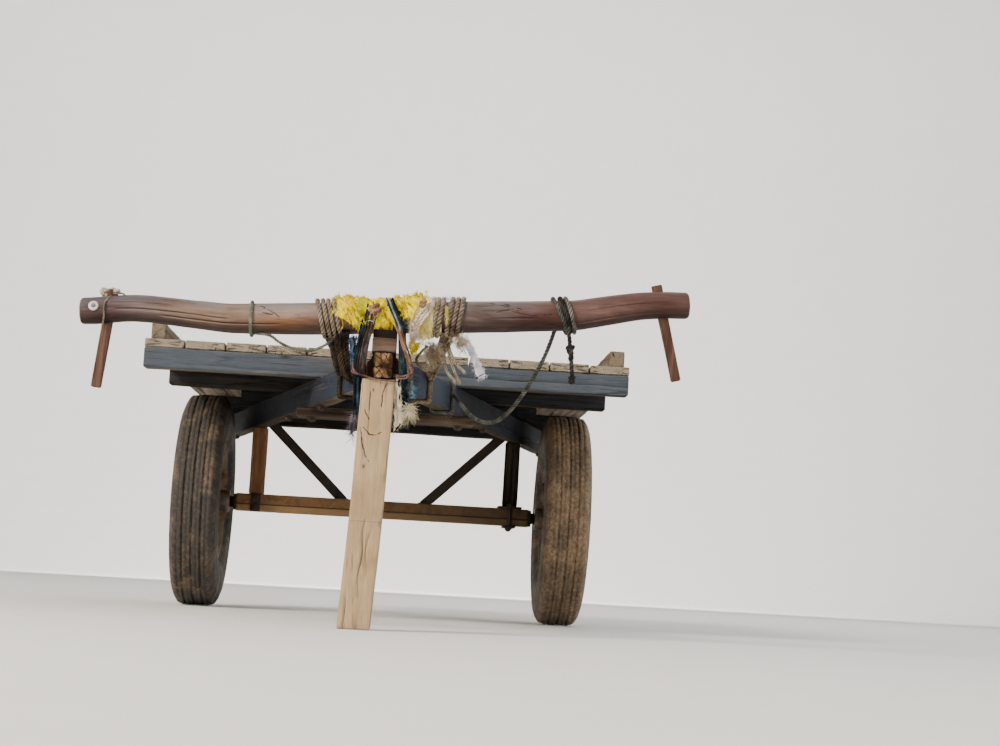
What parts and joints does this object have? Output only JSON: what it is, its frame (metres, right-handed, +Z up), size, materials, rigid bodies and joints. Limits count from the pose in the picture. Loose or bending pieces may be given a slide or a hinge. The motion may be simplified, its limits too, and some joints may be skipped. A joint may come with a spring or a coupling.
{
  "type": "bullock cart",
  "caption": "Two-wheeled plank-deck cart on pneumatic tyres, with converging draught beams, a lashed yoke and a hinged prop leg under its tongue.",
  "frame": {"origin": "on the floor, in the middle of the cart's length and width", "axes": "-Y is the cart's front, towards the yoke; +X is to the right of someone who faces the cart's front; +Z is up"},
  "size_m": [1.8312, 3.55, 1.0879],
  "materials": {
    "timber_beam": "worn grey-blue paint over ochre timber",
    "timber_dark": "dark, rubbed smooth",
    "timber_pale": "weathered and cracked",
    "timber_yoke": "polished by handling",
    "timber_frame": "weathered",
    "timber_deck": "weathered",
    "iron_rusty": "rusted",
    "wheel_paint": "faded red oxide, muddy",
    "tyre": "worn and muddy",
    "rope": "coarse twisted fibre",
    "cloth": "ragged cotton"
  },
  "bodies": {
    "cart": {"draught_beam_left": "timber_beam", "draught_beam_right": "timber_beam", "cross_tie": "timber_beam", "tongue": "timber_dark", "seat_block": "timber_dark", "yoke": "timber_yoke", "yoke_pin_left": "timber_yoke", "yoke_pin_right": "timber_yoke", "front_beam": "timber_frame", "bearer_ahead": "timber_frame", "bolster": "timber_frame", "bearer_behind": "timber_frame", "rear_beam": "timber_frame", "side_rail_left": "timber_frame", "side_rail_right": "timber_frame", "post_left": "timber_frame", "post_right": "timber_frame", "deck_planks": "timber_deck", "axle": "iron_rusty", "axle_clamp_left": "iron_rusty", "axle_clamp_right": "iron_rusty", "brace_left": "iron_rusty", "brace_right": "iron_rusty", "prop_hinge": "iron_rusty", "prop_pin": "iron_rusty", "lashing_left": "rope", "lashing_right": "rope", "neck_loop_left": "rope", "neck_winding_right": "rope", "sling_left": "rope", "sling_right": "rope", "nose_ring_left": "rope", "nose_ring_right": "rope", "deck_ring": "rope", "slack_rope": "rope", "rope_tail": "rope", "tail_knot": "rope", "yoke_rag": "cloth"},
    "wheel_left": {"tyre_left": "tyre", "rim_left": "wheel_paint", "hub_left": "wheel_paint", "hub_cap_left": "wheel_paint"},
    "wheel_right": {"tyre_right": "tyre", "rim_right": "wheel_paint", "hub_right": "wheel_paint", "hub_cap_right": "wheel_paint"},
    "prop": {"prop_leg": "timber_pale", "prop_strap": "iron_rusty"}
  },
  "joints": [
    {"name": "wheel_left_spin", "type": "hinge", "parent": "cart", "child": "wheel_left", "pos_m": [-0.735, 0.566, 0.43], "axis": [1, 0, 0], "continuous": true},
    {"name": "wheel_right_spin", "type": "hinge", "parent": "cart", "child": "wheel_right", "pos_m": [0.735, 0.566, 0.43], "axis": [1, 0, 0], "continuous": true},
    {"name": "prop_fold", "type": "hinge", "parent": "cart", "child": "prop", "pos_m": [-0.01, -1.68, 0.716], "axis": [1, 0, 0], "range_deg": [0, 86]}
  ]
}
